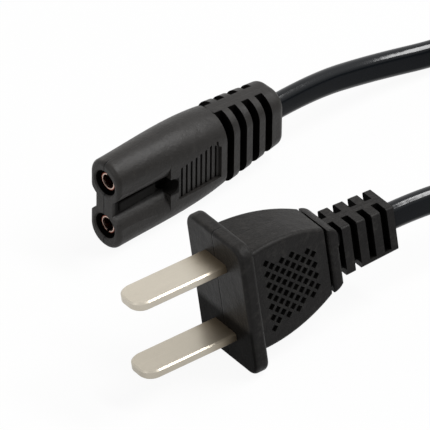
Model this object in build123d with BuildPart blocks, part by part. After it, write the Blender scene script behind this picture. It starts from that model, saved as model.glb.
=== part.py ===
"""Mains lead for a laptop supply: figure-eight connector, flat cord and two-blade plug.

Millimetres, +Z up. Both ends stand on their narrow edges, as a flat cord holds them.
Each end has a frame of its own: x runs from its face towards the cord, y is the long
side of its section (pin to pin or blade to blade) and z is the normal of its wide face.
"""

import math
import os

from build123d import *

os.makedirs("parts", exist_ok=True)

# Flat twin cord
cord_width = 4.6
cord_thickness = 2.9
core_diameter = 1.8
conductor_diameter = 0.95
core_spacing = 1.9

# Plug moulding
flange_height = 23.6
flange_thickness = 16.0
flange_depth = 2.5
flange_corner = 2.6
flange_edge = 0.7
belly_length = 14.6
belly_start_half_height = 8.9
belly_mid_half_height = 8.7
belly_end_half_height = 6.2
belly_start_thickness = 11.6
belly_end_thickness = 8.0
belly_edge = 0.7
collar_gap = 0.5
collar_length = 1.8
collar_front_half_height = 5.9
collar_mid_half_height = 5.6
collar_rear_half_height = 4.8
collar_thickness = 8.4
collar_edge = 0.5
neck_height = 10.4
neck_thickness = 5.8
plug_relief_length = 10.7
plug_relief_front_height = 9.0
plug_relief_rear_height = 8.0
plug_relief_thickness = 6.8
plug_relief_edge = 0.5
plug_slot_width = 1.15
plug_slot_pitch = 2.75
plug_slot_count = 4
plug_open_slots = 2
plug_slot_skin = 0.7
plug_slot_web = 1.8

# Grip pits on the plug's wide faces
pit_size = 0.95
pit_pitch = 1.42
pit_depth = 0.55
pit_field_margin = 3.1
pit_field_length = 8.9
pit_field_front_half_height = 6.4
pit_field_rear_half_height = 4.1

# Plug blades, their crimp barrels and the bridge that holds them
blade_spacing = 12.7
blade_width = 6.2
blade_thickness = 1.5
blade_length = 16.3
blade_tip_radius = 2.3
blade_edge = 0.25
blade_root = 5.4
tab_width = 2.6
tab_length = 1.0
barrel_length = 3.4
barrel_wall = 0.45
bridge_start = 1.4
bridge_length = 3.6
bridge_margin = 1.0
bridge_thickness = 8.6
bridge_corner = 1.2
plug_sheath_start = 18.6
plug_wire_straight = 1.8

# Connector moulding, as sections from the mouth to the strain relief's end
pin_spacing = 8.6
pin_diameter = 2.4
contact_clearance = 0.04
mouth_half_height = 8.4
mouth_thickness = 6.8
mouth_edge = 0.8
throat_at = 9.0
throat_half_height = 8.3
throat_thickness = 7.9
grip_at = 16.5
grip_half_height = 7.95
grip_thickness = 8.9
body_length = 22.2
shoulder_half_height = 7.2
shoulder_thickness = 8.7
relief_length = 13.0
relief_half_height = 5.4
relief_thickness = 7.4
relief_edge = 1.2
section_roundness = 0.97
relief_roundness = 0.8
entry_diameter = 4.4
entry_depth = 6.5
entry_chamfer = 0.25

# Figure-eight groove between the round lobes, and the finger hole at its end
groove_end = 10.4
groove_web = 3.7
groove_reach = 6.0
lobe_front_radius = 3.5
lobe_rear_radius = 4.05
groove_front_half_height = 1.4
groove_rear_half_height = 1.05
scoop_radius = 1.45
scoop_rise = 0.3
scoop_at = 10.5
scoop_web = 2.0

# Ribbed thumb rest in front of the strain relief
rest_front = 12.0
rest_rear = 20.9
rest_half_height = 3.0
rest_crown_at = 19.0
rest_crown_height = 4.4
rest_rear_height = 3.0
rest_web = 7.9
rib_count = 8
rib_pitch = 1.03
rib_gap = 0.42
rib_depth = 0.5

# Slots of the connector's strain relief
slot_width = 1.5
slot_count = 4
slot_pitch = 2.87
slot_web = 2.6
cord_cover = 0.45

# Contacts of the connector and the insert that holds them
contact_start = 0.8
contact_length = 12.4
contact_bore_depth = 11.0
contact_wall = 0.3
contact_slit = 0.5
contact_slit_length = 8.0
crimp_length = 3.0
insert_length = 6.6
insert_lobe_wall = 0.8
insert_web = 1.6
sheath_start = 21.6
wire_straight = 1.2

# Where the ends rest
plug_x = -10.44
plug_y = -19.81
connector_x = -8.52
connector_y = 17.83
connector_height = 8.59
connector_yaw = 10.0
connector_pitch = -1.91
connector_lean = 8.84

# Coil of the spare cord and its tie
coil_x = 89.0
coil_y = -8.0
coil_mean_radius = 25.5
coil_turn_pitch = 3.2
coil_rounds = 4
coil_layers = 2
coil_layer_pitch = 4.75
coil_corner = 1.2
coil_lead = 18.0
coil_entry_angle = 84.0
coil_exit_angle = -114.0
exit_straight = 9.0
lead_straight = 7.5
tie_thickness = 1.0
tie_arc = 11.0
tie_angle = -35.0
bend_share = 0.45

# Sizes that follow from those above
belly_end = flange_depth + belly_length
collar_start = belly_end + collar_gap
collar_end = collar_start + collar_length
plug_length = collar_end + plug_relief_length
connector_length = body_length + relief_length
barrel_start = blade_root + tab_length
barrel_diameter = conductor_diameter + 2 * barrel_wall
contact_bore = pin_diameter + contact_clearance
contact_diameter = contact_bore + 2 * contact_wall
contact_end = contact_start + contact_length
coil_width = coil_rounds * coil_turn_pitch
coil_height = coil_layers * coil_layer_pitch
coil_outer_turn = coil_mean_radius + (coil_rounds - 1) / 2 * coil_turn_pitch
low_turn_height = tie_thickness + coil_layer_pitch / 2
high_turn_height = low_turn_height + (coil_layers - 1) * coil_layer_pitch
ends = {"upper": 1, "lower": -1}


def resting_frame(x, y, height, yaw, pitch, lean):
    """Frame of an end: x to the cord, y up its section, z out of its wide face."""
    heading = math.radians(yaw)
    nose = math.radians(pitch)
    tilt = math.radians(lean)
    flat = math.cos(nose)
    along = Vector(math.cos(heading) * flat, math.sin(heading) * flat, math.sin(nose))
    side = Vector(math.sin(heading), -math.cos(heading), 0)
    rise = side.cross(along)
    out = side * math.cos(tilt) - rise * math.sin(tilt)
    return Plane(origin=(x, y, height), x_dir=along, z_dir=out)


def across(frame, at):
    """Plane across an end at a distance from its face; x is minus the frame's z."""
    origin = frame.from_local_coords(Vector(at, 0, 0))
    return Plane(origin=origin, x_dir=-frame.z_dir, z_dir=frame.x_dir)


def level(frame, at):
    """Plane along an end's section at a height; y is minus the frame's z."""
    origin = frame.from_local_coords(Vector(0, at, 0))
    return Plane(origin=origin, x_dir=frame.x_dir, z_dir=frame.y_dir)


def facing(frame, sign, at):
    """Plane parallel to a wide face, looking out of it, at a distance from the middle."""
    origin = frame.from_local_coords(Vector(0, 0, sign * at))
    return Plane(origin=origin, x_dir=frame.x_dir, z_dir=frame.z_dir * sign)


def along_axis(frame):
    return Axis(frame.origin, frame.x_dir)


def up_axis(frame):
    return Axis(frame.origin, frame.y_dir)


def save(part, name):
    part.label = name
    export_step(part, f"parts/{name}.step")
    print(f"{name}: {part.volume:.1f} mm3")


plug_frame = resting_frame(plug_x, plug_y, flange_height / 2, 0, 0, 0)
connector_frame = resting_frame(
    connector_x, connector_y, connector_height, connector_yaw, connector_pitch, connector_lean
)


# Wires inside an end: straight out of the terminal, then slanting in to the sheath
def wire(frame, sign, start, bend_at, terminal_height, sheath_at, diameter):
    bend = core_diameter
    with BuildPart() as swept:
        with BuildLine(frame) as route:
            FilletPolyline(
                (start, sign * terminal_height),
                (bend_at, sign * terminal_height),
                (sheath_at - bend, sign * core_spacing / 2),
                (sheath_at, sign * core_spacing / 2),
                radius=bend,
            )
        path = route.wires()[0]
        with BuildSketch(across(frame, start)):
            with Locations((0, sign * terminal_height)):
                Circle(diameter / 2)
        sweep(path=path)
    return swept.part


def insulation(frame, sign, start, bend_at, terminal_height, sheath_at):
    sizes = (frame, sign, start, bend_at, terminal_height, sheath_at)
    with BuildPart() as core:
        add(wire(*sizes, core_diameter))
        add(wire(*sizes, conductor_diameter), mode=Mode.SUBTRACT)
    return core.part


def sheath_end(frame, start, end):
    with BuildPart() as sheath:
        with BuildSketch(across(frame, start)):
            SlotOverall(cord_width, cord_thickness, rotation=90)
        extrude(amount=end - start)
    return sheath.part


def relief_slots(frame, first, pitch, width, count, open_count, closed_bottom, web, reach):
    """Cutter for a strain relief: slots from both wide sides to a web and the cord's cover."""
    with BuildPart() as slots:
        for slot in range(count):
            bottom = -reach if slot < open_count else closed_bottom
            with BuildSketch(across(frame, first + slot * pitch)):
                with Locations((0, (bottom + reach) / 2)):
                    Rectangle(2 * reach, reach - bottom)
            extrude(amount=width)
        with BuildSketch(across(frame, first)):
            SlotOverall(cord_width + 2 * cord_cover, cord_thickness + 2 * cord_cover, rotation=90)
            Rectangle(web, 2 * reach)
        extrude(amount=count * pitch, mode=Mode.SUBTRACT)
    return slots.part


# Plug blade: rounded tip, root inside the moulding, tab and crimp barrel
def blade(sign):
    height = sign * blade_spacing / 2
    with BuildPart() as part:
        with BuildSketch(level(plug_frame, height - blade_thickness / 2)):
            with Locations(((blade_root - blade_length) / 2, 0)):
                Rectangle(blade_length + blade_root, blade_width)
        extrude(amount=blade_thickness)
        tip = part.edges().filter_by(up_axis(plug_frame)).group_by(along_axis(plug_frame))[0]
        fillet(tip, blade_tip_radius)
        rims = part.faces().filter_by(up_axis(plug_frame))
        chamfer(rims.edges(), blade_edge)
        with BuildSketch(level(plug_frame, height - blade_thickness / 2)):
            with Locations((blade_root + tab_length / 2, 0)):
                Rectangle(tab_length, tab_width)
        extrude(amount=blade_thickness)
        with BuildSketch(across(plug_frame, barrel_start)):
            with Locations((0, height)):
                Circle(barrel_diameter / 2)
                Circle(conductor_diameter / 2, mode=Mode.SUBTRACT)
        extrude(amount=barrel_length)
    return part.part


blades = {end: blade(sign) for end, sign in ends.items()}
for end, part in blades.items():
    save(part, f"plug_blade_{end}")

plug_core_start = barrel_start + barrel_length
plug_bend_at = plug_core_start + plug_wire_straight
plug_conductors = {}
plug_cores = {}
for end, sign in ends.items():
    run = (plug_bend_at, blade_spacing / 2, plug_sheath_start)
    plug_conductors[end] = wire(plug_frame, sign, barrel_start, *run, conductor_diameter)
    plug_cores[end] = insulation(plug_frame, sign, plug_core_start, *run)
    save(plug_conductors[end], f"plug_conductor_{end}")
    save(plug_cores[end], f"plug_core_{end}")

plug_sheath = sheath_end(plug_frame, plug_sheath_start, plug_length)
save(plug_sheath, "plug_sheath_end")

# Bridge that holds the blades at their spacing inside the plug
with BuildPart() as bridge:
    with BuildSketch(across(plug_frame, bridge_start)):
        bridge_height = blade_spacing + blade_thickness + 2 * bridge_margin
        RectangleRounded(bridge_thickness, bridge_height, bridge_corner)
    extrude(amount=bridge_length)
    for part in blades.values():
        add(part, mode=Mode.SUBTRACT)
save(bridge.part, "plug_bridge")

# Belly of the plug: crowned side outline, flat slanting wide faces
belly_mid = (flange_depth + belly_end) / 2
with BuildPart() as belly:
    with BuildSketch(plug_frame):
        with BuildLine():
            ThreePointArc(
                (flange_depth, belly_start_half_height),
                (belly_mid, belly_mid_half_height),
                (belly_end, belly_end_half_height),
            )
            Line((belly_end, belly_end_half_height), (belly_end, -belly_end_half_height))
            ThreePointArc(
                (belly_end, -belly_end_half_height),
                (belly_mid, -belly_mid_half_height),
                (flange_depth, -belly_start_half_height),
            )
            Line((flange_depth, -belly_start_half_height), (flange_depth, belly_start_half_height))
        make_face()
    extrude(amount=belly_start_thickness / 2, both=True)
    with BuildSketch(level(plug_frame, 0)):
        with BuildLine():
            Polyline(
                (flange_depth, belly_start_thickness / 2),
                (belly_end, belly_end_thickness / 2),
                (belly_end, -belly_end_thickness / 2),
                (flange_depth, -belly_start_thickness / 2),
                close=True,
            )
        make_face()
    extrude(amount=flange_height / 2, both=True, mode=Mode.INTERSECT)
    inside = (plug_x + flange_depth + belly_edge, plug_x + belly_end - belly_edge)
    fillet(belly.edges().filter_by_position(Axis.X, *inside), belly_edge)

# Fields of grip pits, staggered, following the belly's slant
pit_step = pit_pitch / math.sqrt(2)
pit_columns = round(pit_field_length / pit_step) + 1
pit_rows = round(pit_field_front_half_height / pit_step)
pit_points = []
for column in range(pit_columns):
    from_front = column * pit_step
    slope = (pit_field_front_half_height - pit_field_rear_half_height) / pit_field_length
    reach = pit_field_front_half_height - slope * from_front
    for row in range(-pit_rows, pit_rows + 1):
        if (column + row) % 2 == 0 and abs(row * pit_step) <= reach:
            pit_points.append((pit_field_margin + from_front, row * pit_step))
with BuildPart() as pits:
    for sign in (1, -1):
        start = plug_frame.from_local_coords(Vector(flange_depth, 0, sign * belly_start_thickness / 2))
        finish = plug_frame.from_local_coords(Vector(belly_end, 0, sign * belly_end_thickness / 2))
        slant = finish - start
        wide_face = Plane(origin=start, x_dir=slant, z_dir=slant.cross(plug_frame.y_dir) * sign)
        with BuildSketch(wide_face):
            with Locations(*pit_points):
                Rectangle(pit_size, pit_size, rotation=45)
        extrude(amount=-pit_depth)

# Collar behind the belly, with rounded shoulders
collar_mid = (collar_start + collar_end) / 2
with BuildPart() as collar:
    with BuildSketch(plug_frame):
        with BuildLine():
            ThreePointArc(
                (collar_start, collar_front_half_height),
                (collar_mid, collar_mid_half_height),
                (collar_end, collar_rear_half_height),
            )
            Line((collar_end, collar_rear_half_height), (collar_end, -collar_rear_half_height))
            ThreePointArc(
                (collar_end, -collar_rear_half_height),
                (collar_mid, -collar_mid_half_height),
                (collar_start, -collar_front_half_height),
            )
            Line((collar_start, -collar_front_half_height), (collar_start, collar_front_half_height))
        make_face()
    extrude(amount=collar_thickness / 2, both=True)
    wide_rims = collar.faces().filter_by(Axis.Y).edges()
    fillet(wide_rims, collar_edge)

# Strain relief of the plug
with BuildPart() as plug_relief:
    with BuildSketch(level(plug_frame, 0)):
        with Locations(((collar_end + plug_length) / 2, 0)):
            Rectangle(plug_relief_length, plug_relief_thickness)
    extrude(amount=plug_relief_front_height / 2, both=True)
    with BuildSketch(plug_frame):
        with BuildLine():
            Polyline(
                (collar_end, plug_relief_front_height / 2),
                (plug_length, plug_relief_rear_height / 2),
                (plug_length, -plug_relief_rear_height / 2),
                (collar_end, -plug_relief_front_height / 2),
                close=True,
            )
        make_face()
    extrude(amount=plug_relief_thickness, both=True, mode=Mode.INTERSECT)
    inside = (plug_x + collar_end + plug_relief_edge, plug_x + plug_length - plug_relief_edge)
    fillet(plug_relief.edges().filter_by_position(Axis.X, *inside), plug_relief_edge)

plug_slots = relief_slots(
    plug_frame,
    collar_end,
    plug_slot_pitch,
    plug_slot_width,
    plug_slot_count,
    plug_open_slots,
    plug_slot_skin - plug_relief_rear_height / 2,
    plug_slot_web,
    plug_relief_front_height,
)

# Plug moulding: flange, belly, collar and strain relief in one, cleared for what it holds
with BuildPart() as plug_body:
    with BuildSketch(across(plug_frame, 0)):
        RectangleRounded(flange_thickness, flange_height, flange_corner)
    extrude(amount=flange_depth)
    flange_rims = plug_body.faces().filter_by(Axis.X).edges()
    fillet(flange_rims, flange_edge)
    add(belly.part)
    with BuildSketch(across(plug_frame, belly_end - belly_edge)):
        Rectangle(neck_thickness, neck_height)
    extrude(amount=collar_gap + 2 * belly_edge)
    add(collar.part)
    add(plug_relief.part)
    add(plug_slots, mode=Mode.SUBTRACT)
    add(pits.part, mode=Mode.SUBTRACT)
    add(bridge.part, mode=Mode.SUBTRACT)
    add(plug_sheath, mode=Mode.SUBTRACT)
    for end in ends:
        add(blades[end], mode=Mode.SUBTRACT)
        add(plug_conductors[end], mode=Mode.SUBTRACT)
        add(plug_cores[end], mode=Mode.SUBTRACT)
save(plug_body.part, "plug_body")


# Connector contact: rolled tube with a slit, closed behind, crimped on its conductor
def contact(sign):
    height = sign * pin_spacing / 2
    with BuildPart() as part:
        with BuildSketch(across(connector_frame, contact_start)):
            with Locations((0, height)):
                Circle(contact_diameter / 2)
        extrude(amount=contact_length)
        with BuildSketch(across(connector_frame, contact_start)):
            with Locations((0, height)):
                Circle(contact_bore / 2)
        extrude(amount=contact_bore_depth, mode=Mode.SUBTRACT)
        with BuildSketch(across(connector_frame, contact_start)):
            with Locations((0, height + sign * contact_diameter / 2)):
                Rectangle(contact_slit, contact_diameter / 2)
        extrude(amount=contact_slit_length, mode=Mode.SUBTRACT)
        with BuildSketch(across(connector_frame, contact_end)):
            with Locations((0, height)):
                Circle(barrel_diameter / 2)
                Circle(conductor_diameter / 2, mode=Mode.SUBTRACT)
        extrude(amount=crimp_length)
    return part.part


contacts = {end: contact(sign) for end, sign in ends.items()}
for end, part in contacts.items():
    save(part, f"connector_contact_{end}")

connector_core_start = contact_end + crimp_length
connector_bend_at = connector_core_start + wire_straight
connector_conductors = {}
connector_cores = {}
for end, sign in ends.items():
    run = (connector_bend_at, pin_spacing / 2, sheath_start)
    connector_conductors[end] = wire(connector_frame, sign, contact_end, *run, conductor_diameter)
    connector_cores[end] = insulation(connector_frame, sign, connector_core_start, *run)
    save(connector_conductors[end], f"connector_conductor_{end}")
    save(connector_cores[end], f"connector_core_{end}")

connector_sheath = sheath_end(connector_frame, sheath_start, connector_length)
save(connector_sheath, "connector_sheath_end")

# Room of the two contacts, with their bores
with BuildPart() as contact_room:
    with BuildSketch(across(connector_frame, contact_start)):
        with Locations((0, pin_spacing / 2), (0, -pin_spacing / 2)):
            Circle(contact_diameter / 2)
    extrude(amount=contact_length)

# Insert behind the entry holes: a lobe round each contact and a web between them
insert_lobe = contact_diameter + 2 * insert_lobe_wall
with BuildPart() as insert:
    with BuildSketch(across(connector_frame, entry_depth)):
        with Locations((0, pin_spacing / 2), (0, -pin_spacing / 2)):
            Circle(insert_lobe / 2)
        Rectangle(insert_web, pin_spacing)
    extrude(amount=insert_length)
    add(contact_room.part, mode=Mode.SUBTRACT)
save(insert.part, "connector_insert")


# Groove of the figure eight: a flat floor between the two round lobes, and a finger hole
def figure_groove(sign):
    with BuildPart() as part:
        for at, radius, half_height in (
            (0, lobe_front_radius, groove_front_half_height),
            (groove_end, lobe_rear_radius, groove_rear_half_height),
        ):
            floor = groove_web / 2
            middle = half_height + math.sqrt(radius ** 2 - floor ** 2)
            bulge = (math.pi / 2 + math.asin(floor / radius)) / 2
            shoulder = (radius * math.sin(bulge), middle - radius * math.cos(bulge))
            with BuildSketch(across(connector_frame, at)):
                with BuildLine():
                    Line((-sign * floor, -half_height), (-sign * floor, half_height))
                    ThreePointArc(
                        (-sign * floor, half_height),
                        (-sign * shoulder[0], shoulder[1]),
                        (-sign * radius, middle),
                    )
                    Polyline(
                        (-sign * radius, middle),
                        (-sign * groove_reach, middle),
                        (-sign * groove_reach, -middle),
                        (-sign * radius, -middle),
                    )
                    ThreePointArc(
                        (-sign * radius, -middle),
                        (-sign * shoulder[0], -shoulder[1]),
                        (-sign * floor, -half_height),
                    )
                make_face()
        loft()
        with BuildSketch(facing(connector_frame, sign, scoop_web / 2)):
            with Locations((scoop_at, scoop_rise)):
                Circle(scoop_radius)
        extrude(amount=groove_reach)
    return part.part


# Thumb rest: a shallow pocket with a crowned upper edge and fine upright ribs
def thumb_rest(sign):
    rib_front = (rest_front + rest_rear - (rib_count - 1) * rib_pitch) / 2
    with BuildPart() as part:
        with BuildSketch(facing(connector_frame, sign, rest_web / 2)):
            with BuildLine():
                Polyline(
                    (rest_front, -rest_half_height),
                    (rest_front, rest_half_height),
                    (rest_crown_at, rest_crown_height),
                    (rest_rear, rest_rear_height),
                    (rest_rear, -rest_half_height),
                    close=True,
                )
            make_face()
        extrude(amount=grip_thickness)
        for rib in range(rib_count):
            at = rib_front + rib * rib_pitch
            climb = (at - rest_front) / (rest_crown_at - rest_front)
            top = min(rest_half_height + climb * (rest_crown_height - rest_half_height), rest_crown_height)
            with BuildSketch(facing(connector_frame, sign, rest_web / 2 - rib_depth)):
                with Locations((at, (top - rest_half_height) / 2)):
                    Rectangle(rib_gap, top + rest_half_height)
            extrude(amount=grip_thickness)
    return part.part


connector_slots = relief_slots(
    connector_frame,
    body_length,
    slot_pitch,
    slot_width,
    slot_count,
    slot_count,
    0,
    slot_web,
    2 * shoulder_half_height,
)

# Strain relief of the connector
with BuildPart() as connector_relief:
    with BuildSketch(across(connector_frame, body_length)):
        corner = relief_roundness * shoulder_thickness / 2
        RectangleRounded(shoulder_thickness, 2 * shoulder_half_height, corner)
    with BuildSketch(across(connector_frame, connector_length)):
        corner = relief_roundness * relief_thickness / 2
        RectangleRounded(relief_thickness, 2 * relief_half_height, corner)
    loft()
    rear_rim = connector_relief.faces().sort_by(along_axis(connector_frame))[-1].edges()
    fillet(rear_rim, relief_edge)
    add(connector_slots, mode=Mode.SUBTRACT)

# Connector moulding, cleared for what it holds
stations = (
    (0, mouth_half_height, mouth_thickness),
    (throat_at, throat_half_height, throat_thickness),
    (grip_at, grip_half_height, grip_thickness),
    (body_length, shoulder_half_height, shoulder_thickness),
)
with BuildPart() as connector_body:
    for at, half_height, thickness in stations:
        with BuildSketch(across(connector_frame, at)):
            RectangleRounded(thickness, 2 * half_height, section_roundness * thickness / 2)
    loft()
    mouth = connector_body.faces().sort_by(along_axis(connector_frame))[0]
    fillet(mouth.edges(), mouth_edge)
    add(connector_relief.part)
    for sign in ends.values():
        with BuildSketch(across(connector_frame, 0)):
            with Locations((0, sign * pin_spacing / 2)):
                Circle(entry_diameter / 2)
        extrude(amount=entry_depth, mode=Mode.SUBTRACT)
        for at, radius in ((0, entry_diameter / 2 + entry_chamfer), (entry_chamfer, entry_diameter / 2)):
            with BuildSketch(across(connector_frame, at)):
                with Locations((0, sign * pin_spacing / 2)):
                    Circle(radius)
        loft(mode=Mode.SUBTRACT)
        add(figure_groove(sign), mode=Mode.SUBTRACT)
        add(thumb_rest(sign), mode=Mode.SUBTRACT)
    add(insert.part, mode=Mode.SUBTRACT)
    add(contact_room.part, mode=Mode.SUBTRACT)
    add(connector_sheath, mode=Mode.SUBTRACT)
    for end in ends:
        add(contacts[end], mode=Mode.SUBTRACT)
        add(connector_conductors[end], mode=Mode.SUBTRACT)
        add(connector_cores[end], mode=Mode.SUBTRACT)
save(connector_body.part, "connector_body")


# Cords that lie free, and the coil of what is put away
def lead_point(angle, along, height):
    """Point on a tangent of the coil's outer turn, wound clockwise, seen from above."""
    turn = math.radians(angle)
    x = coil_x + coil_outer_turn * math.cos(turn) + along * math.sin(turn)
    y = coil_y + coil_outer_turn * math.sin(turn) - along * math.cos(turn)
    return Vector(x, y, height)


def upright(origin, heading):
    """Plane across a cord that stands on its edge."""
    side = heading.cross(Vector(0, 0, 1))
    return Plane(origin=origin, x_dir=side, z_dir=heading)


def flat_cord(route, name):
    """Cord along straight runs joined by arcs as large as the runs allow."""
    points = [Vector(*point) for point in route]
    runs = [after - before for before, after in zip(points, points[1:])]
    radii = []
    for before, after in zip(runs, runs[1:]):
        half_turn = math.radians(before.get_angle(after)) / 2
        radii.append(bend_share * min(before.length, after.length) / math.tan(half_turn))
    print(name, "runs", [round(run.length, 1) for run in runs], "radii", [round(r) for r in radii])
    with BuildPart() as cord:
        with BuildLine() as line:
            FilletPolyline(*points, radius=radii)
        path = line.wires()[0]
        with BuildSketch(upright(points[0], runs[0].normalized())) as outline:
            SlotOverall(cord_width, cord_thickness, rotation=90)
        sweep(path=path)
    print(name, "volume over section times length", cord.part.volume / outline.sketch.area / path.length)
    save(cord.part, name)
    return path.length


connector_cord = flat_cord(
    (
        connector_frame.from_local_coords(Vector(connector_length, 0, 0)),
        connector_frame.from_local_coords(Vector(connector_length + exit_straight, 0, 0)),
        (46.6, 26.3, 5.2),
        (57.1, 25.9, 3.0),
        lead_point(coil_entry_angle, -coil_lead - lead_straight, low_turn_height),
        lead_point(coil_entry_angle, -coil_lead, low_turn_height),
    ),
    "cord_connector_end",
)
plug_cord = flat_cord(
    (
        plug_frame.from_local_coords(Vector(plug_length, 0, 0)),
        plug_frame.from_local_coords(Vector(plug_length + exit_straight, 0, 0)),
        (40.4, -21.1, 9.4),
        lead_point(coil_exit_angle, coil_lead + exit_straight, high_turn_height),
        lead_point(coil_exit_angle, coil_lead, high_turn_height),
    ),
    "cord_plug_end",
)

coil_plane = Plane(origin=(coil_x, coil_y, tie_thickness), x_dir=(1, 0, 0), z_dir=(0, -1, 0))
coil_axis = Axis((coil_x, coil_y, 0), (0, 0, 1))
with BuildPart() as coil:
    with BuildSketch(coil_plane):
        with Locations((coil_mean_radius, coil_height / 2)):
            RectangleRounded(coil_width, coil_height, coil_corner)
    revolve(axis=coil_axis)
    for angle, way, height in (
        (coil_entry_angle, -1, low_turn_height),
        (coil_exit_angle, 1, high_turn_height),
    ):
        touch = lead_point(angle, 0, height)
        tip = lead_point(angle, way * coil_lead, height)
        with BuildSketch(upright(tip, (touch - tip).normalized())):
            SlotOverall(cord_width, cord_thickness, rotation=90)
        extrude(amount=coil_lead)
save(coil.part, "cord_coil")

with BuildPart() as tie:
    with BuildSketch(coil_plane):
        with Locations((coil_mean_radius, coil_height / 2)):
            tie_width = coil_width + 2 * tie_thickness
            tie_height = coil_height + 2 * tie_thickness
            RectangleRounded(tie_width, tie_height, coil_corner + tie_thickness)
            RectangleRounded(coil_width, coil_height, coil_corner, mode=Mode.SUBTRACT)
    revolve(axis=coil_axis, revolution_arc=tie_arc)
save(tie.part.rotate(coil_axis, tie_angle), "cord_tie")

turns = 2 * coil_rounds + (coil_entry_angle - coil_exit_angle) / 360
leads = 2 * coil_lead
total = connector_cord + plug_cord + leads + turns * 2 * math.pi * coil_mean_radius
print(f"cord in all {total:.0f} mm, {turns:.2f} turns")
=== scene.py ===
# %% [markdown]
# This lesson dresses a laptop's mains lead: a figure-eight connector, a flat twin cord and a plug
# with two flat blades. The mouldings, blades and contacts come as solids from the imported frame
# and only need finishes. The cord is made here, because a sweep along one smooth curve bends
# like a real cord, and its coil is the same cord wound up.

# %% Load the frame
import math
import random

import bmesh
import bpy
from mathutils import Matrix, Vector


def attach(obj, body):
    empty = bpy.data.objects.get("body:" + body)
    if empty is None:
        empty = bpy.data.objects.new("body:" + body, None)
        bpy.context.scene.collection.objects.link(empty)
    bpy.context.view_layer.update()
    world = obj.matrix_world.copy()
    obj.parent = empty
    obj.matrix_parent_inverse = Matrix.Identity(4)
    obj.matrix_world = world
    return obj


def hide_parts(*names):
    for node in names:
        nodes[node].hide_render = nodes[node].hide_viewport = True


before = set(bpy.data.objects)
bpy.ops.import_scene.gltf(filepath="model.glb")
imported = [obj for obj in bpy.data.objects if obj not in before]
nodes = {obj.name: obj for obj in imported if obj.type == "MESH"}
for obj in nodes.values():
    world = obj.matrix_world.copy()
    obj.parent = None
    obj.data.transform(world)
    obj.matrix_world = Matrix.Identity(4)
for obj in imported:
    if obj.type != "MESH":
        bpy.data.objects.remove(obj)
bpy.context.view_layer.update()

MM = 0.001
print("nodes:", ", ".join(sorted(nodes)))

# %% [markdown]
# Whatever is made here, from the camera to the cord, is some data in an object that the scene's
# collection holds. One function adds it.

# %% Adding objects
def add_object(name, data):
    added = bpy.data.objects.new(name, data)
    bpy.context.scene.collection.objects.link(added)
    return added


# %% [markdown]
# Each end has a frame of its own: "along" runs from its face to the cord, "rise" is the long side
# of its section and "out" is the normal of the wide face that the camera sees. The connector
# lies a little turned, nose up and leaning, as the photograph shows it. The finishes need these
# directions as much as the shapes do, so they are worked out once.

# %% Frames of the two ends
class End:
    """Origin and directions of one end of the lead, in metres."""

    def __init__(self, origin, yaw=0.0, pitch=0.0, lean=0.0):
        heading, nose, tilt = (math.radians(angle) for angle in (yaw, pitch, lean))
        flat = math.cos(nose)
        self.origin = Vector(origin) * MM
        self.along = Vector((math.cos(heading) * flat, math.sin(heading) * flat, math.sin(nose)))
        side = Vector((math.sin(heading), -math.cos(heading), 0))
        self.out = side * math.cos(tilt) - side.cross(self.along) * math.sin(tilt)
        self.rise = self.out.cross(self.along)

    def point(self, along, rise=0.0, out=0.0):
        """A point given in the end's own millimetres."""
        step = self.along * along + self.rise * rise + self.out * out
        return self.origin + step * MM


straight_up = Vector((0, 0, 1))
plug = End((-10.44, -19.81, 11.8))
plug_length = 30.1
connector = End((-8.52, 17.83, 8.59), yaw=10.0, pitch=-1.91, lean=8.84)
connector_length = 35.2
contact_spacing = 8.6
print("connector leans", round(math.degrees(connector.rise.angle(straight_up)), 1), "degrees")

# %% [markdown]
# A long lens from far away, rolled a little, matches the photograph best, so the camera is set
# by the direction it looks in, its distance and that roll. It aims at a point on the surface.

# %% Camera
camera_azimuth = math.radians(-28.01)
camera_elevation = math.radians(33.79)
camera_roll = math.radians(-8.33)
camera_distance = 1.4151
camera_target = Vector((8.99, 14.80, 0.0)) * MM
camera_lens = 753.5
camera_sensor = 36.0
camera_clip = (0.1, 10.0)

back = Vector((
    math.sin(camera_azimuth) * math.cos(camera_elevation),
    -math.cos(camera_azimuth) * math.cos(camera_elevation),
    math.sin(camera_elevation),
))
level_right = (-back).cross(straight_up).normalized()
level_up = level_right.cross(-back)
right = level_right * math.cos(camera_roll) + level_up * math.sin(camera_roll)
up = level_up * math.cos(camera_roll) - level_right * math.sin(camera_roll)

camera_data = bpy.data.cameras.new("camera")
camera_data.lens = camera_lens
camera_data.sensor_width = camera_sensor
camera_data.clip_start, camera_data.clip_end = camera_clip
camera = add_object("camera", camera_data)
turn = Matrix((right, up, back)).transposed()
camera.matrix_world = Matrix.Translation(camera_target + back * camera_distance) @ turn.to_4x4()
bpy.context.scene.camera = camera
bpy.context.scene.view_settings.view_transform = "Standard"
print("camera at", [round(value, 3) for value in camera.location])
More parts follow.
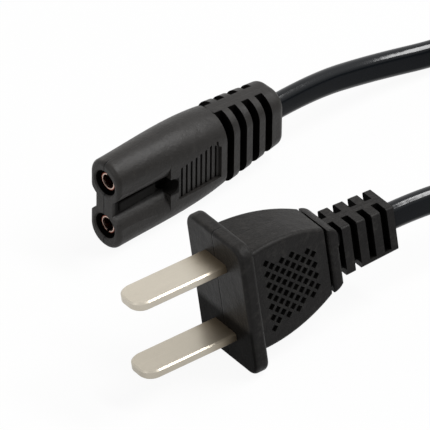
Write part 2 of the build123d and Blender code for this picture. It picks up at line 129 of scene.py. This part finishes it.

# %% [markdown]
# The cord is a flat twin cord, 4.6 mm wide and 2.9 mm thick, that stands on its edge. It leaves
# the connector along the moulding's axis, sinks to the surface, and enters a coil that holds
# what the photograph doesn't show. It comes out of the coil's upper layer and rises to the plug.
# One NURBS curve takes the whole route, the coil's turns too, so that nothing kinks. Three of its
# points, the ones that sag from the two ends, are listed.

# %% Route of the cord
cord_width = 4.6
cord_thickness = 2.9
coil_centre = Vector((89.0, -8.0, 0.0))
coil_mean_radius = 25.5
coil_turn_pitch = 3.2
coil_rounds = 4
coil_layer_pitch = 4.75
tie_thickness = 1.0
coil_lead = 18.0
coil_entry_angle = 84.0
coil_exit_angle = -114.0
exit_straight = 9.0
lead_straight = 7.5
coil_outer_turn = coil_mean_radius + (coil_rounds - 1) / 2 * coil_turn_pitch
low_turn_height = tie_thickness + coil_layer_pitch / 2
high_turn_height = low_turn_height + coil_layer_pitch
points_a_turn = 16
climb_turns = 0.6
climb_lead = 0.35
coil_seed = 7
radius_play = 0.1
height_play = 0.05
sag_from_connector = (Vector((46.6, 26.4, 4.9)) * MM, Vector((60.0, 24.9, 2.9)) * MM)
sag_to_plug = Vector((40.4, -21.1, 9.4)) * MM
curve_resolution = 12


def lead_point(angle, along, height):
    """Point on a tangent of the coil's outer turn, wound clockwise, seen from above."""
    turn = math.radians(angle)
    x = coil_centre.x + coil_outer_turn * math.cos(turn) + along * math.sin(turn)
    y = coil_centre.y + coil_outer_turn * math.sin(turn) - along * math.cos(turn)
    return Vector((x, y, height)) * MM


def smooth(value):
    """Eases from 0 to 1 with level ends."""
    value = min(max(value, 0.0), 1.0)
    return value * value * (3 - 2 * value)


def coil_turns():
    """Inwards on the surface, up at the innermost turn, and outwards on top."""
    draw = random.Random(coil_seed)
    inner_turn = coil_outer_turn - (coil_rounds - 1) * coil_turn_pitch
    wound = (coil_entry_angle - coil_exit_angle) / 360 + 2 * coil_rounds
    count = round(wound * points_a_turn)
    points = []
    for step in range(1, count):
        turns = wound * step / count
        inwards = min(turns / (coil_rounds - 1), 1.0)
        outwards = min(max((turns - coil_rounds - 1) / (coil_rounds - 1), 0.0), 1.0)
        radius = coil_outer_turn + (inner_turn - coil_outer_turn) * (inwards - outwards)
        climb = smooth((turns - coil_rounds + climb_lead) / climb_turns)
        height = low_turn_height + (high_turn_height - low_turn_height) * climb
        angle = math.radians(coil_entry_angle - 360 * turns)
        play = draw.uniform(-radius_play, radius_play)
        reach = (radius + play) / math.cos(math.pi / points_a_turn)
        around = Vector((math.cos(angle), math.sin(angle), 0)) * reach
        lift = Vector((0, 0, height + draw.uniform(-height_play, height_play)))
        points.append((coil_centre + around + lift) * MM)
    return points


connector_side = [
    connector.point(connector_length),
    connector.point(connector_length + exit_straight),
    *sag_from_connector,
    lead_point(coil_entry_angle, -coil_lead - lead_straight, low_turn_height),
    lead_point(coil_entry_angle, -coil_lead, low_turn_height),
    lead_point(coil_entry_angle, -coil_lead / 2, low_turn_height),
]
plug_side = [
    lead_point(coil_exit_angle, coil_lead / 2, high_turn_height),
    lead_point(coil_exit_angle, coil_lead, high_turn_height),
    lead_point(coil_exit_angle, coil_lead + exit_straight, high_turn_height),
    sag_to_plug,
    plug.point(plug_length + exit_straight),
    plug.point(plug_length),
]
route = connector_side + coil_turns() + plug_side


def smooth_line(name, controls):
    """Points read from a NURBS spline with the given control points."""
    curve = bpy.data.curves.new(name, "CURVE")
    curve.dimensions = "3D"
    spline = curve.splines.new("NURBS")
    spline.points.add(len(controls) - 1)
    for control, place in zip(spline.points, controls):
        control.co = (*place, 1.0)
    spline.order_u = 3
    spline.use_endpoint_u = True
    spline.resolution_u = curve_resolution
    holder = add_object(name, curve)
    bpy.context.view_layer.update()
    mesh = bpy.data.meshes.new_from_object(holder)
    line = [vertex.co.copy() for vertex in mesh.vertices]
    bpy.data.objects.remove(holder)
    return line


centreline = smooth_line("cord_route", route)
cord_length = sum((after - before).length for before, after in zip(centreline, centreline[1:]))
print("cord:", len(route), "control points,", round(cord_length / MM), "mm")

# %% [markdown]
# The cord's section is a stadium. Its long side follows the connector's lean at one end and is
# upright elsewhere, because a flat cord twists easily but hardly bends across its width. The
# rings are square to the curve, and the two ends are closed flat against the mouldings.

# %% Cord
section_points = 32


def stadium(width, thickness, count):
    """Outline of a flat cord as pairs of (across, upright), in millimetres."""
    straight = (width - thickness) / 2
    outline = []
    for step in range(count):
        angle = 2 * math.pi * (step + 0.5) / count
        across = math.cos(angle) * thickness / 2
        upright = math.sin(angle) * thickness / 2 + math.copysign(straight, math.sin(angle))
        outline.append((across, upright))
    return outline


def sweep_flat(name, line, uprights, outline):
    """A closed tube of one section along a line, with its upright side given at each point."""
    mesh = bmesh.new()
    rings = []
    for index, centre in enumerate(line):
        before = line[max(index - 1, 0)]
        after = line[min(index + 1, len(line) - 1)]
        tangent = (after - before).normalized()
        side = tangent.cross(uprights[index]).normalized()
        rise = side.cross(tangent)
        rings.append([mesh.verts.new(centre + (side * a + rise * b) * MM) for a, b in outline])
    for ring, following in zip(rings, rings[1:]):
        for step in range(len(outline)):
            after = (step + 1) % len(outline)
            mesh.faces.new((ring[step], ring[after], following[after], following[step]))
    mesh.faces.new(list(reversed(rings[0])))
    mesh.faces.new(rings[-1])
    bmesh.ops.recalc_face_normals(mesh, faces=mesh.faces[:])
    data = bpy.data.meshes.new(name)
    mesh.to_mesh(data)
    mesh.free()
    data.polygons.foreach_set("use_smooth", [len(face.vertices) == 4 for face in data.polygons])
    return add_object(name, data)


lean_fades_over = 30 * MM
travelled = 0.0
uprights = []
for index, centre in enumerate(centreline):
    if index:
        travelled += (centre - centreline[index - 1]).length
    share = smooth(travelled / lean_fades_over)
    uprights.append(connector.rise.lerp(straight_up, share).normalized())
cord_outline = stadium(cord_width, cord_thickness, section_points)
cord = sweep_flat("mains_cord", centreline, uprights, cord_outline)
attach(cord, "root")
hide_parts("cord_connector_end", "cord_plug_end", "cord_coil")
print("cord mesh:", len(cord.data.polygons), "faces")

# %% [markdown]
# A strap holds the coil. It starts on top, goes round the turns once, steps up over its own
# start and ends in a free tail. It is swept along a spline too, in the upright plane through
# the coil's centre, so its wide side always points along the turns.

# %% Strap round the coil
strap_angle = math.radians(-35.0)
strap_width = 4.8
strap_thickness = 0.9
strap_inner = 18.65
strap_outer = 32.35
strap_low = 0.5
strap_top = 10.95
strap_corner = 2.0
strap_section_points = 20
strap_start = (22.5, 27.0)
overlap_start = 22.0
overlap_lift = 0.3
overlap_reaches = (23.0, 26.0, 29.5)
radial = Vector((math.cos(strap_angle), math.sin(strap_angle), 0))
strap_route = [
    *((reach, strap_top) for reach in strap_start),
    (strap_outer - strap_corner, strap_top),
    (strap_outer, strap_top),
    (strap_outer, strap_top - strap_corner),
    (strap_outer, strap_low + strap_corner),
    (strap_outer, strap_low),
    (strap_outer - strap_corner, strap_low),
    (strap_inner + strap_corner, strap_low),
    (strap_inner, strap_low),
    (strap_inner, strap_low + strap_corner),
    (strap_inner, strap_top - strap_corner),
    (strap_inner, strap_top),
    (strap_inner + strap_corner, strap_top),
    (overlap_start, strap_top + overlap_lift),
    *((reach, strap_top + strap_thickness) for reach in overlap_reaches),
]
strap_controls = [
    (coil_centre + radial * reach + Vector((0, 0, height))) * MM for reach, height in strap_route
]
strap_line = smooth_line("strap_route", strap_controls)
along_turns = Vector((-math.sin(strap_angle), math.cos(strap_angle), 0))
strap_outline = stadium(strap_width, strap_thickness, strap_section_points)
strap = sweep_flat("coil_strap", strap_line, [along_turns] * len(strap_line), strap_outline)
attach(strap, "root")
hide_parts("cord_tie")
print("strap:", len(strap.data.polygons), "faces")

# %% [markdown]
# The connector's waist carries a thin raised panel on each wide side. It is a plate with rounded
# corners and edges, made flat from four rounded corners and bevelled, and set on the floor of
# the waist's groove.

# %% Panels in the waist
panel_from = 1.3
panel_to = 8.9
panel_half_height = 0.92
panel_floor = 1.85
panel_rise = 0.32
panel_sunk = 0.15
panel_corner = 0.35
panel_edge = 0.12
panel_edge_steps = 3
panel_corner_steps = 5


def waist_panel(name, side):
    """A plate on one side of the waist: 1 is the side that the camera sees, -1 the other."""
    mesh = bmesh.new()
    outline = []
    corners = ((panel_to, 1, 0), (panel_from, 1, 90), (panel_from, -1, 180), (panel_to, -1, 270))
    for along, height, start in corners:
        inset_along = along - math.copysign(panel_corner, along - (panel_from + panel_to) / 2)
        inset_height = height * (panel_half_height - panel_corner)
        for step in range(panel_corner_steps + 1):
            angle = math.radians(start + 90 * step / panel_corner_steps)
            along_edge = inset_along + panel_corner * math.cos(angle)
            outline.append((along_edge, inset_height + panel_corner * math.sin(angle)))
    low_out, high_out = side * (panel_floor - panel_sunk), side * (panel_floor + panel_rise)
    low = [mesh.verts.new(connector.point(a, h, low_out)) for a, h in outline]
    high = [mesh.verts.new(connector.point(a, h, high_out)) for a, h in outline]
    mesh.faces.new(low)
    top = mesh.faces.new(high)
    for step in range(len(outline)):
        after = (step + 1) % len(outline)
        mesh.faces.new((low[step], low[after], high[after], high[step]))
    bmesh.ops.recalc_face_normals(mesh, faces=mesh.faces[:])
    rim = {"geom": list(top.edges), "affect": "EDGES"}
    bmesh.ops.bevel(mesh, offset=panel_edge * MM, segments=panel_edge_steps, **rim)
    data = bpy.data.meshes.new(name)
    mesh.to_mesh(data)
    mesh.free()
    piece = add_object(name, data)
    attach(piece, "root")
    return piece


panels = [waist_panel("waist_panel_near", 1), waist_panel("waist_panel_far", -1)]
print("panels:", [len(panel.data.polygons) for panel in panels], "faces")

# %% [markdown]
# Shader maths reads best as plain sums. A Socket wraps an output of a node, and each operator
# adds the Math node for it, also with the number on the left, so that 1 - mask works. A Finish
# is one material: its node method adds any other node from its type, settings and inputs.

# %% Shader sockets and finishes
class Socket:
    """An output socket that takes part in sums, differences, products and quotients."""

    def __init__(self, finish, output):
        self.finish = finish
        self.output = output

    def maths(self, operation, *values):
        node = self.finish.tree.nodes.new("ShaderNodeMath")
        node.operation = operation
        for slot, value in zip(node.inputs, values):
            self.finish.feed(slot, value)
        return Socket(self.finish, node.outputs[0])

    def __add__(self, other):
        return self.maths("ADD", self, other)

    __radd__ = __add__

    def __sub__(self, other):
        return self.maths("SUBTRACT", self, other)

    def __rsub__(self, other):
        return self.maths("SUBTRACT", other, self)

    def __mul__(self, other):
        return self.maths("MULTIPLY", self, other)

    __rmul__ = __mul__

    def __truediv__(self, other):
        return self.maths("DIVIDE", self, other)

    def __abs__(self):
        return self.maths("ABSOLUTE", self)

    def larger(self, other):
        return self.maths("MAXIMUM", self, other)

    def fraction(self):
        return self.maths("FRACT", self)

    def sine(self):
        return self.maths("SINE", self)


class Finish:
    """A material with one Principled shader, and the means to add nodes to it."""

    def __init__(self, name, **constants):
        self.material = bpy.data.materials.new(name)
        self.material.use_nodes = True
        self.tree = self.material.node_tree
        self.shader = self.tree.nodes["Principled BSDF"]
        for slot, value in constants.items():
            self.shader.inputs[slot.replace("_", " ")].default_value = value
        self.place = self.node("ShaderNodeTexCoord", output="Object")

    def feed(self, slot, value):
        if isinstance(value, Socket):
            self.tree.links.new(value.output, slot)
        else:
            slot.default_value = value

    def node(self, kind, settings=None, output=0, **inputs):
        """Adds a node. An input is given by its name, or by its number after an i."""
        node = self.tree.nodes.new(kind)
        for key, value in (settings or {}).items():
            setattr(node, key, value)
        for slot, value in inputs.items():
            key = int(slot[1:]) if slot[1:].isdigit() else slot.replace("_", " ")
            self.feed(node.inputs[key], value)
        return Socket(self, node.outputs[output])

    def drive(self, slot, value):
        self.feed(self.shader.inputs[slot], value)

    def cover(self, share, other):
        """Lets another shader take over a share of the surface."""
        own = Socket(self, self.shader.outputs[0])
        skin = self.node("ShaderNodeMixShader", i0=share, i1=own, i2=other)
        self.feed(self.tree.nodes["Material Output"].inputs["Surface"], skin)

    def dot(self, direction, origin=(0, 0, 0)):
        """Metres from an origin along a direction."""
        subtract, multiply = ({"operation": kind} for kind in ("SUBTRACT", "DOT_PRODUCT"))
        offset = self.node("ShaderNodeVectorMath", subtract, i0=self.place, i1=origin)
        return self.node("ShaderNodeVectorMath", multiply, output="Value", i0=offset, i1=direction)

    def distance_along(self, end, direction):
        """Millimetres from an end's origin along one of its directions."""
        return self.dot(direction, end.origin) / MM

    def upright(self):
        """The upright part of the surface's normal, from -1 to 1."""
        normal = self.node("ShaderNodeNewGeometry", output="Normal")
        return self.node("ShaderNodeSeparateXYZ", output="Z", Vector=normal)

    def noise(self, scale, detail=2.0, roughness=0.5, vector=None):
        return self.node(
            "ShaderNodeTexNoise",
            Vector=vector or self.place,
            Scale=scale,
            Detail=detail,
            Roughness=roughness,
        )

    def spread(self, value, low, high, to_low, to_high):
        """Maps a value's range to another, smoothly clamped."""
        return self.node(
            "ShaderNodeMapRange",
            {"interpolation_type": "SMOOTHSTEP"},
            i0=value, i1=low, i2=high, i3=to_low, i4=to_high,
        )

    def between(self, value, low, high, blur):
        """1 between two limits and 0 outside them, with soft edges."""
        rising = self.spread(value, low - blur, low, 0.0, 1.0)
        return rising * self.spread(value, high, high + blur, 1.0, 0.0)

    def blend(self, share, first, second):
        """Colour between two colours."""
        colours = {"data_type": "RGBA"}
        return self.node("ShaderNodeMix", colours, output=2, i0=share, i6=first, i7=second)

    def bump(self, height, distance, under=None):
        """Bumps of a height given in metres, over those under them."""
        inputs = {"Height": height, "Distance": distance}
        if under is not None:
            inputs["Normal"] = under
        return self.node("ShaderNodeBump", **inputs)


def colour(red, green, blue):
    return (red, green, blue, 1.0)


white = colour(1.0, 1.0, 1.0)

# %% [markdown]
# The mouldings are soft black PVC with a satin skin. It gets a very fine grain, the slight
# unevenness of a moulding that shrank, and pale dust in the grain. The mould's halves left a
# line on the middle plane of each end: fine and dark on the two faces, and hardly to be seen
# further back. The groove in the connector's waist, the plug's face low down, the slots and the
# entry holes get painted shade, to be darker than the rest. Whether they are rougher or only
# get less light isn't known. A darker colour would still mirror the lamps, so a plain dark
# diffuse shader takes over a share of them. It takes in the panel in the groove too, which is
# lighter in the photograph. The slots repeat at one pitch, so the remainder of the distance
# along the end tells what lies inside one. The web between them stays as it is. All lengths
# below are in millimetres.

# %% Moulded PVC
worn_grey = colour(0.0100, 0.0092, 0.0086), colour(0.0200, 0.0182, 0.0168)
deep_black = colour(0.0035, 0.0032, 0.0032), colour(0.0080, 0.0074, 0.0072)
scuff_grey = colour(0.036, 0.034, 0.031)
dust_grey = colour(0.031, 0.029, 0.027)
seam_black = colour(0.002, 0.002, 0.002)
# Colour of the painted shade in the recesses and on the plug's face low down.
painted_shade_black = colour(0.0028, 0.0027, 0.0026)
seam_edge = (0.05, 0.20)
seam_fades = (0.6, 1.8)
slot_margin = 0.03
web_blur = 0.1
skin_blur = 0.05
entry_radius = 2.22
entry_blur = 0.1
no_skin = -20.0


def in_slots(finish, end, first, pitch, width, count, web, skin):
    """1 inside the slots of a strain relief, beside its web and above its lower skin."""
    travelled = finish.distance_along(end, end.along) - (first - slot_margin)
    in_pitch = pitch * (travelled / pitch).fraction()
    slotted = finish.between(travelled, 0.0, count * pitch - slot_margin, slot_margin)
    slotted = slotted * finish.between(in_pitch, 0.0, width + 2 * slot_margin, slot_margin)
    off_middle = abs(finish.distance_along(end, end.out))
    beside_web = finish.spread(off_middle, web / 2 - 2 * web_blur, web / 2 - web_blur, 0.0, 1.0)
    height = finish.distance_along(end, end.rise)
    above_skin = finish.spread(height, skin - skin_blur, skin + skin_blur, 0.0, 1.0)
    return slotted * beside_web * above_skin


def squared_off_axis(finish):
    """Squared distance from the nearer contact's axis, in square millimetres."""
    beside = abs(finish.distance_along(connector, connector.rise)) - contact_spacing / 2
    out = finish.distance_along(connector, connector.out)
    return beside * beside + out * out


def connector_hollows(finish):
    """1 inside the slots and the entry holes of the connector."""
    slots = in_slots(
        finish, connector, first=22.2, pitch=2.87, width=1.5, count=4, web=2.6, skin=no_skin
    )
    limits = (entry_radius ** 2, (entry_radius + entry_blur) ** 2)
    entries = finish.spread(squared_off_axis(finish), *limits, 1.0, 0.0)
    from_face = finish.distance_along(connector, connector.along)
    return slots.larger(entries * finish.between(from_face, 0.4, 8.0, 0.3))


def plug_hollows(finish):
    """1 inside the slots of the plug."""
    return in_slots(
        finish, plug, first=19.4, pitch=2.75, width=1.15, count=4, web=1.8, skin=-3.3
    )


def moulded_pvc(name, end, gloss, tones, painted_shade_along, painted_shade_rise, hollows):
    """A moulding's finish. The two limits of the painted shade are low, high and blur."""
    finish = Finish(name, Specular_IOR_Level=gloss)
    cloud = finish.noise(160.0, detail=3.0)
    grain = finish.noise(4200.0, detail=2.0, roughness=0.6)
    shrink = finish.noise(300.0, detail=1.0)
    dust = finish.noise(1500.0, detail=4.0, roughness=0.7)
    scratch = finish.noise(620.0, detail=5.0, roughness=0.75)
    from_face = finish.distance_along(end, end.along)
    off_middle = abs(finish.distance_along(end, end.out))
    seam = finish.spread(off_middle, *seam_edge, 1.0, 0.0)
    seam = seam * finish.spread(from_face, *seam_fades, 1.0, 0.08)

    scuffs = finish.spread(scratch, 0.50, 0.72, 0.0, 1.0)
    scuffed = finish.blend(0.45 * scuffs, finish.blend(cloud, *tones), scuff_grey)
    upward = finish.spread(finish.upright(), 0.1, 1.0, 0.0, 1.0)
    settled = (0.25 + 0.75 * upward) * finish.spread(dust, 0.45, 0.80, 0.25, 0.8)
    dusty = finish.blend(settled, scuffed, dust_grey)
    finish.drive("Base Color", finish.blend(seam, dusty, seam_black))
    finish.drive("Roughness", 0.30 + 0.10 * cloud + 0.12 * grain + 0.08 * scuffs)

    wavy = finish.bump(shrink, 0.12 * MM)
    pitted = finish.bump(dust, 0.07 * MM, under=wavy)
    lined = finish.bump(1 - seam, 0.16 * MM, under=pitted)
    finish.drive("Normal", finish.bump(grain, 0.04 * MM, under=lined))

    # Painted shade: a dark diffuse share in the waist's groove, on the plug's face low down,
    # and, through the hollows mask, in the slots and the entry holes.
    painted_shade_zone = finish.between(from_face, *painted_shade_along)
    painted_shade_zone = painted_shade_zone * finish.between(finish.distance_along(end, end.rise), *painted_shade_rise)
    painted_shade = finish.node("ShaderNodeBsdfDiffuse", Color=painted_shade_black)
    finish.cover((0.93 * hollows(finish)).larger(0.72 * painted_shade_zone), painted_shade)
    return finish.material


connector_pvc = moulded_pvc(
    "connector_pvc",
    connector,
    gloss=0.20,
    tones=worn_grey,
    painted_shade_along=(0.8, 12.0, 0.5),
    painted_shade_rise=(-1.35, 1.35, 0.3),
    hollows=connector_hollows,
)
plug_pvc = moulded_pvc(
    "plug_pvc",
    plug,
    gloss=0.10,
    tones=deep_black,
    painted_shade_along=(-1.0, 0.1, 0.3),
    painted_shade_rise=(-20.0, -4.0, 1.8),
    hollows=plug_hollows,
)
for panel in panels:
    panel.data.materials.append(connector_pvc)
print("moulded PVC:", len(connector_pvc.node_tree.nodes), "nodes")

# %% [markdown]
# The cord's sheath is glossier PVC, drawn through a die, which leaves slow ripples. It mirrors a
# lamp as a sharp bright band on its rounded upper edge and is bluish black elsewhere. Its flat
# sides are much darker than that band, and that darkness is painted shade: a dark diffuse share
# stands for it. That may be wear or only the light, and a diffuse share stands for it. The
# upright part of the normal tells the sides from the edges.

# %% Sheath of the cord
def sheath_pvc():
    finish = Finish("sheath_pvc", Specular_IOR_Level=0.28)
    cloud = finish.noise(90.0, detail=2.0)
    ripple = finish.noise(260.0, detail=2.0)
    blue_black = colour(0.0045, 0.0055, 0.0070), colour(0.0070, 0.0085, 0.0105)
    finish.drive("Base Color", finish.blend(cloud, *blue_black))
    finish.drive("Roughness", 0.11 + 0.05 * cloud)
    finish.drive("Normal", finish.bump(ripple, 0.06 * MM))
    # Painted shade: a dark diffuse share on the flat sides of the cord.
    shade_and_dull = finish.node("ShaderNodeBsdfDiffuse", Color=colour(0.0060, 0.0070, 0.0085))
    finish.cover(0.70 * finish.between(finish.upright(), -0.12, 0.35, 0.35), shade_and_dull)
    return finish.material


sheath = sheath_pvc()
cord.data.materials.append(sheath)
print("sheath:", len(sheath.node_tree.nodes), "nodes")

# %% [markdown]
# The strap is a woven hook-and-loop tape. Its warp runs round the coil and its weft across, so
# the weave is two waves, in the coil's radial and upright directions and along its width.

# %% Woven tape
weft_pitch = 0.45 * MM
warp_pitch = 0.6 * MM


def woven_tape():
    finish = Finish("woven_tape", Specular_IOR_Level=0.2)
    weft = finish.dot(along_turns) * (2 * math.pi / weft_pitch)
    warp = (finish.dot(radial) + finish.dot(straight_up)) * (2 * math.pi / warp_pitch)
    ridges = weft.sine() * warp.sine()
    fuzz = finish.noise(3200.0, detail=3.0)
    shade = finish.spread(ridges + fuzz, -0.6, 1.6, 0.0, 1.0)
    threads = colour(0.006, 0.006, 0.007), colour(0.030, 0.030, 0.033)
    finish.drive("Base Color", finish.blend(shade, *threads))
    finish.drive("Roughness", 0.75 + 0.2 * fuzz)
    finish.drive("Normal", finish.bump(ridges + 0.8 * fuzz, 0.06 * MM))
    return finish.material


tape = woven_tape()
strap.data.materials.append(tape)
print("tape:", len(tape.node_tree.nodes), "nodes")

# %% [markdown]
# The blades are brass strip with a satin nickel plating. Nickel is warmer and darker than
# chrome. Fine brush marks run along the strip. Near the face the blades are rougher, and their
# colour there is browner and darker. The lower blade is a little darker than the upper. Both
# darker colours are painted shade, with a painted reflection of the dark face in them. Whether
# that is dirt and wear, or only what they mirror, isn't known, and the colours follow the
# photograph.

# %% Nickel plating
brushed_scale = (60.0, 2600.0, 2600.0)


def nickel():
    finish = Finish("nickel_plating", Metallic=1.0)
    multiply = {"operation": "MULTIPLY"}
    stretch = finish.node("ShaderNodeVectorMath", multiply, i0=finish.place, i1=brushed_scale)
    brushed = finish.noise(1.0, detail=3.0, vector=stretch)
    cloud = finish.noise(140.0, detail=3.0)
    from_face = finish.distance_along(plug, plug.along)
    # Painted shade near the face: a browner, darker colour. The roughness rises there too.
    shade_and_dull = finish.spread(from_face + 3.0 * cloud, -4.5, 1.5, 0.0, 1.0)
    bright = finish.blend(cloud, colour(0.48, 0.44, 0.37), colour(0.57, 0.53, 0.45))
    # Painted shade that makes the lower blade darker.
    lower = finish.spread(finish.distance_along(plug, plug.rise), -3.0, 3.0, 0.14, 0.0)
    lower_shaded = finish.blend(lower, bright, colour(0.10, 0.08, 0.05))
    finish.drive("Base Color", finish.blend(shade_and_dull, lower_shaded, colour(0.19, 0.15, 0.10)))
    finish.drive("Roughness", 0.24 + 0.16 * brushed + 0.10 * shade_and_dull)
    finish.drive("Normal", finish.bump(brushed, 0.02 * MM))
    return finish.material


plating = nickel()
print("plating:", len(plating.node_tree.nodes), "nodes")

# %% [markdown]
# Each contact is a rolled tube. The photograph shows a thin bright rim and a deep reddish brown
# inside, as tarnished bronze has. Only the inner half of the rim is kept bright, and the squared
# distance from a tube's axis is enough to tell the two halves apart.

# %% Contacts
rubbed_radius = 1.34
tarnished_radius = 1.42


def rolled_bronze():
    finish = Finish("rolled_bronze", Metallic=1.0)
    cloud = finish.noise(700.0, detail=3.0)
    limits = (rubbed_radius ** 2, tarnished_radius ** 2)
    rubbed = finish.spread(squared_off_axis(finish), *limits, 1.0, 0.0)
    from_face = finish.distance_along(connector, connector.along)
    rim = rubbed * finish.spread(from_face, 0.95, 1.35, 1.0, 0.0)
    tarnish = finish.blend(cloud, colour(0.09, 0.014, 0.006), colour(0.25, 0.055, 0.028))
    finish.drive("Base Color", finish.blend(rim, tarnish, colour(0.66, 0.50, 0.43)))
    finish.drive("Roughness", 0.22 + 0.18 * cloud)
    finish.drive("Normal", finish.bump(cloud, 0.03 * MM))
    return finish.material


contact_bronze = rolled_bronze()
print("bronze:", len(contact_bronze.node_tree.nodes), "nodes")

# %% [markdown]
# What lies inside the mouldings is seen only through the entry holes or by someone who takes
# the lead apart, but it gets its own stuff as well: a colour that varies a little, and with it
# the roughness.

# %% Inner metal and plastic
def inner_stuff(name, tones, roughness, scale, detail, **constants):
    finish = Finish(name, **constants)
    cloud = finish.noise(scale, detail=detail)
    finish.drive("Base Color", finish.blend(cloud, *tones))
    finish.drive("Roughness", roughness + 0.15 * cloud)
    return finish.material


copper_tones = colour(0.70, 0.33, 0.20), colour(0.85, 0.46, 0.30)
brown_tones = colour(0.20, 0.08, 0.03), colour(0.26, 0.11, 0.05)
black_tones = colour(0.004, 0.004, 0.004), colour(0.006, 0.006, 0.006)
copper = inner_stuff("copper_wire", copper_tones, 0.30, 700.0, 3.0, Metallic=1.0)
insulation = inner_stuff("core_insulation", brown_tones, 0.40, 500.0, 2.0)
insert_plastic = inner_stuff("insert_plastic", black_tones, 0.45, 500.0, 2.0)
print("inner stuff:", copper.name, insulation.name, insert_plastic.name)

# %% [markdown]
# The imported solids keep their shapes. Each gets the finish of its stuff in place of the plain
# colour that it came with.

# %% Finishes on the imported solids
finishes = {
    "connector_body": connector_pvc,
    "plug_body": plug_pvc,
    "plug_blade": plating,
    "connector_contact": contact_bronze,
    "conductor": copper,
    "core": insulation,
    "sheath_end": sheath,
    "insert": insert_plastic,
    "bridge": insert_plastic,
}
for name, solid in nodes.items():
    match = [finish for part, finish in finishes.items() if part in name]
    if match:
        solid.data.materials.clear()
        solid.data.materials.append(match[0])
        print(name, "is", match[0].name)

# %% [markdown]
# A packshot has a white ground and soft light from above. Light Path makes the world white and
# the floor nearly white for the camera and for what mirrors them, without more light on the
# lead. What is left of the floor is a plain diffuse surface, so it keeps the lead's shadow, and
# more of that is left for mirrored rays, so that the near sides of the black PVC stay dark low
# down.

# %% Floor
def looked_at(finish, seen=1.0, mirrored=1.0):
    """Share for the camera's own rays, with glass, and for rays that mirrors send on."""
    kinds = ("Is Camera Ray", "Is Transmission Ray", "Is Glossy Ray")
    straight, through, mirror = (
        finish.node("ShaderNodeLightPath", output=kind) for kind in kinds
    )
    return (seen * straight.larger(through)).larger(mirrored * mirror)


floor_half = 3.0
floor_drop = 0.05 * MM
floor_signs = ((-1, -1), (1, -1), (1, 1), (-1, 1))
floor_corners = [(x * floor_half, y * floor_half, 0.0) for x, y in floor_signs]
floor_mesh = bpy.data.meshes.new("floor")
floor_mesh.from_pydata(floor_corners, [], [(0, 1, 2, 3)])
floor = add_object("floor", floor_mesh)
floor.location.z = -floor_drop
pale_grey = colour(0.85, 0.85, 0.85)
floor_finish = Finish("pale_floor", Base_Color=pale_grey, Roughness=0.9, Specular_IOR_Level=0.0)
glow = floor_finish.node("ShaderNodeEmission", Color=white, Strength=1.0)
floor_finish.cover(looked_at(floor_finish, seen=0.93, mirrored=0.55), glow)
floor.data.materials.append(floor_finish.material)
print("floor:", 2 * floor_half, "m wide")

# %% [markdown]
# The world is as white as the floor where it is looked at, and gives the lead only a fifth of
# that as light from all sides.

# %% World
ambient = 0.20


class Sky(Finish):
    """The world's shader, with the same means to add nodes."""

    def __init__(self, name):
        self.world = bpy.data.worlds.new(name)
        self.world.use_nodes = True
        self.tree = self.world.node_tree
        self.shader = self.tree.nodes["Background"]


sky = Sky("studio")
bpy.context.scene.world = sky.world
sky.drive("Color", white)
direct = looked_at(sky)
sky.drive("Strength", direct + (1 - direct) * ambient)
print("world:", len(sky.tree.nodes), "nodes")

# %% [markdown]
# The overhead lamp stands where the cord's rounded upper edge mirrors it to the camera, which
# gives the long bright band. The other two only fill in from the left and from behind.

# %% Lamps
def softbox(name, place, size, power, tint=(1.0, 1.0, 1.0)):
    """A rectangular lamp that faces the middle of the two ends, with one side level along X."""
    data = bpy.data.lights.new(name, "AREA")
    data.shape = "RECTANGLE"
    data.size, data.size_y = size
    data.energy = power
    data.color = tint
    lamp = add_object(name, data)
    lamp.location = place
    away = Vector(place).normalized()
    level = (Vector((1, 0, 0)) - away * away.x).normalized()
    lamp.rotation_euler = Matrix((level, away.cross(level), away)).transposed().to_euler()
    print(name, power, "W")


softbox("overhead_softbox", (0.53, -0.30, 0.79), size=(0.18, 0.75), power=10.0)
softbox("left_softbox", (-0.90, -0.20, 0.40), size=(0.4, 0.5), power=2.5)
softbox("back_softbox", (0.0, 0.9, 0.5), size=(0.6, 0.3), power=1.5, tint=(1.0, 0.93, 0.86))

# %% [markdown]
# The point where the cord leaves the connector, in metres.

tuple(connector.point(connector_length))
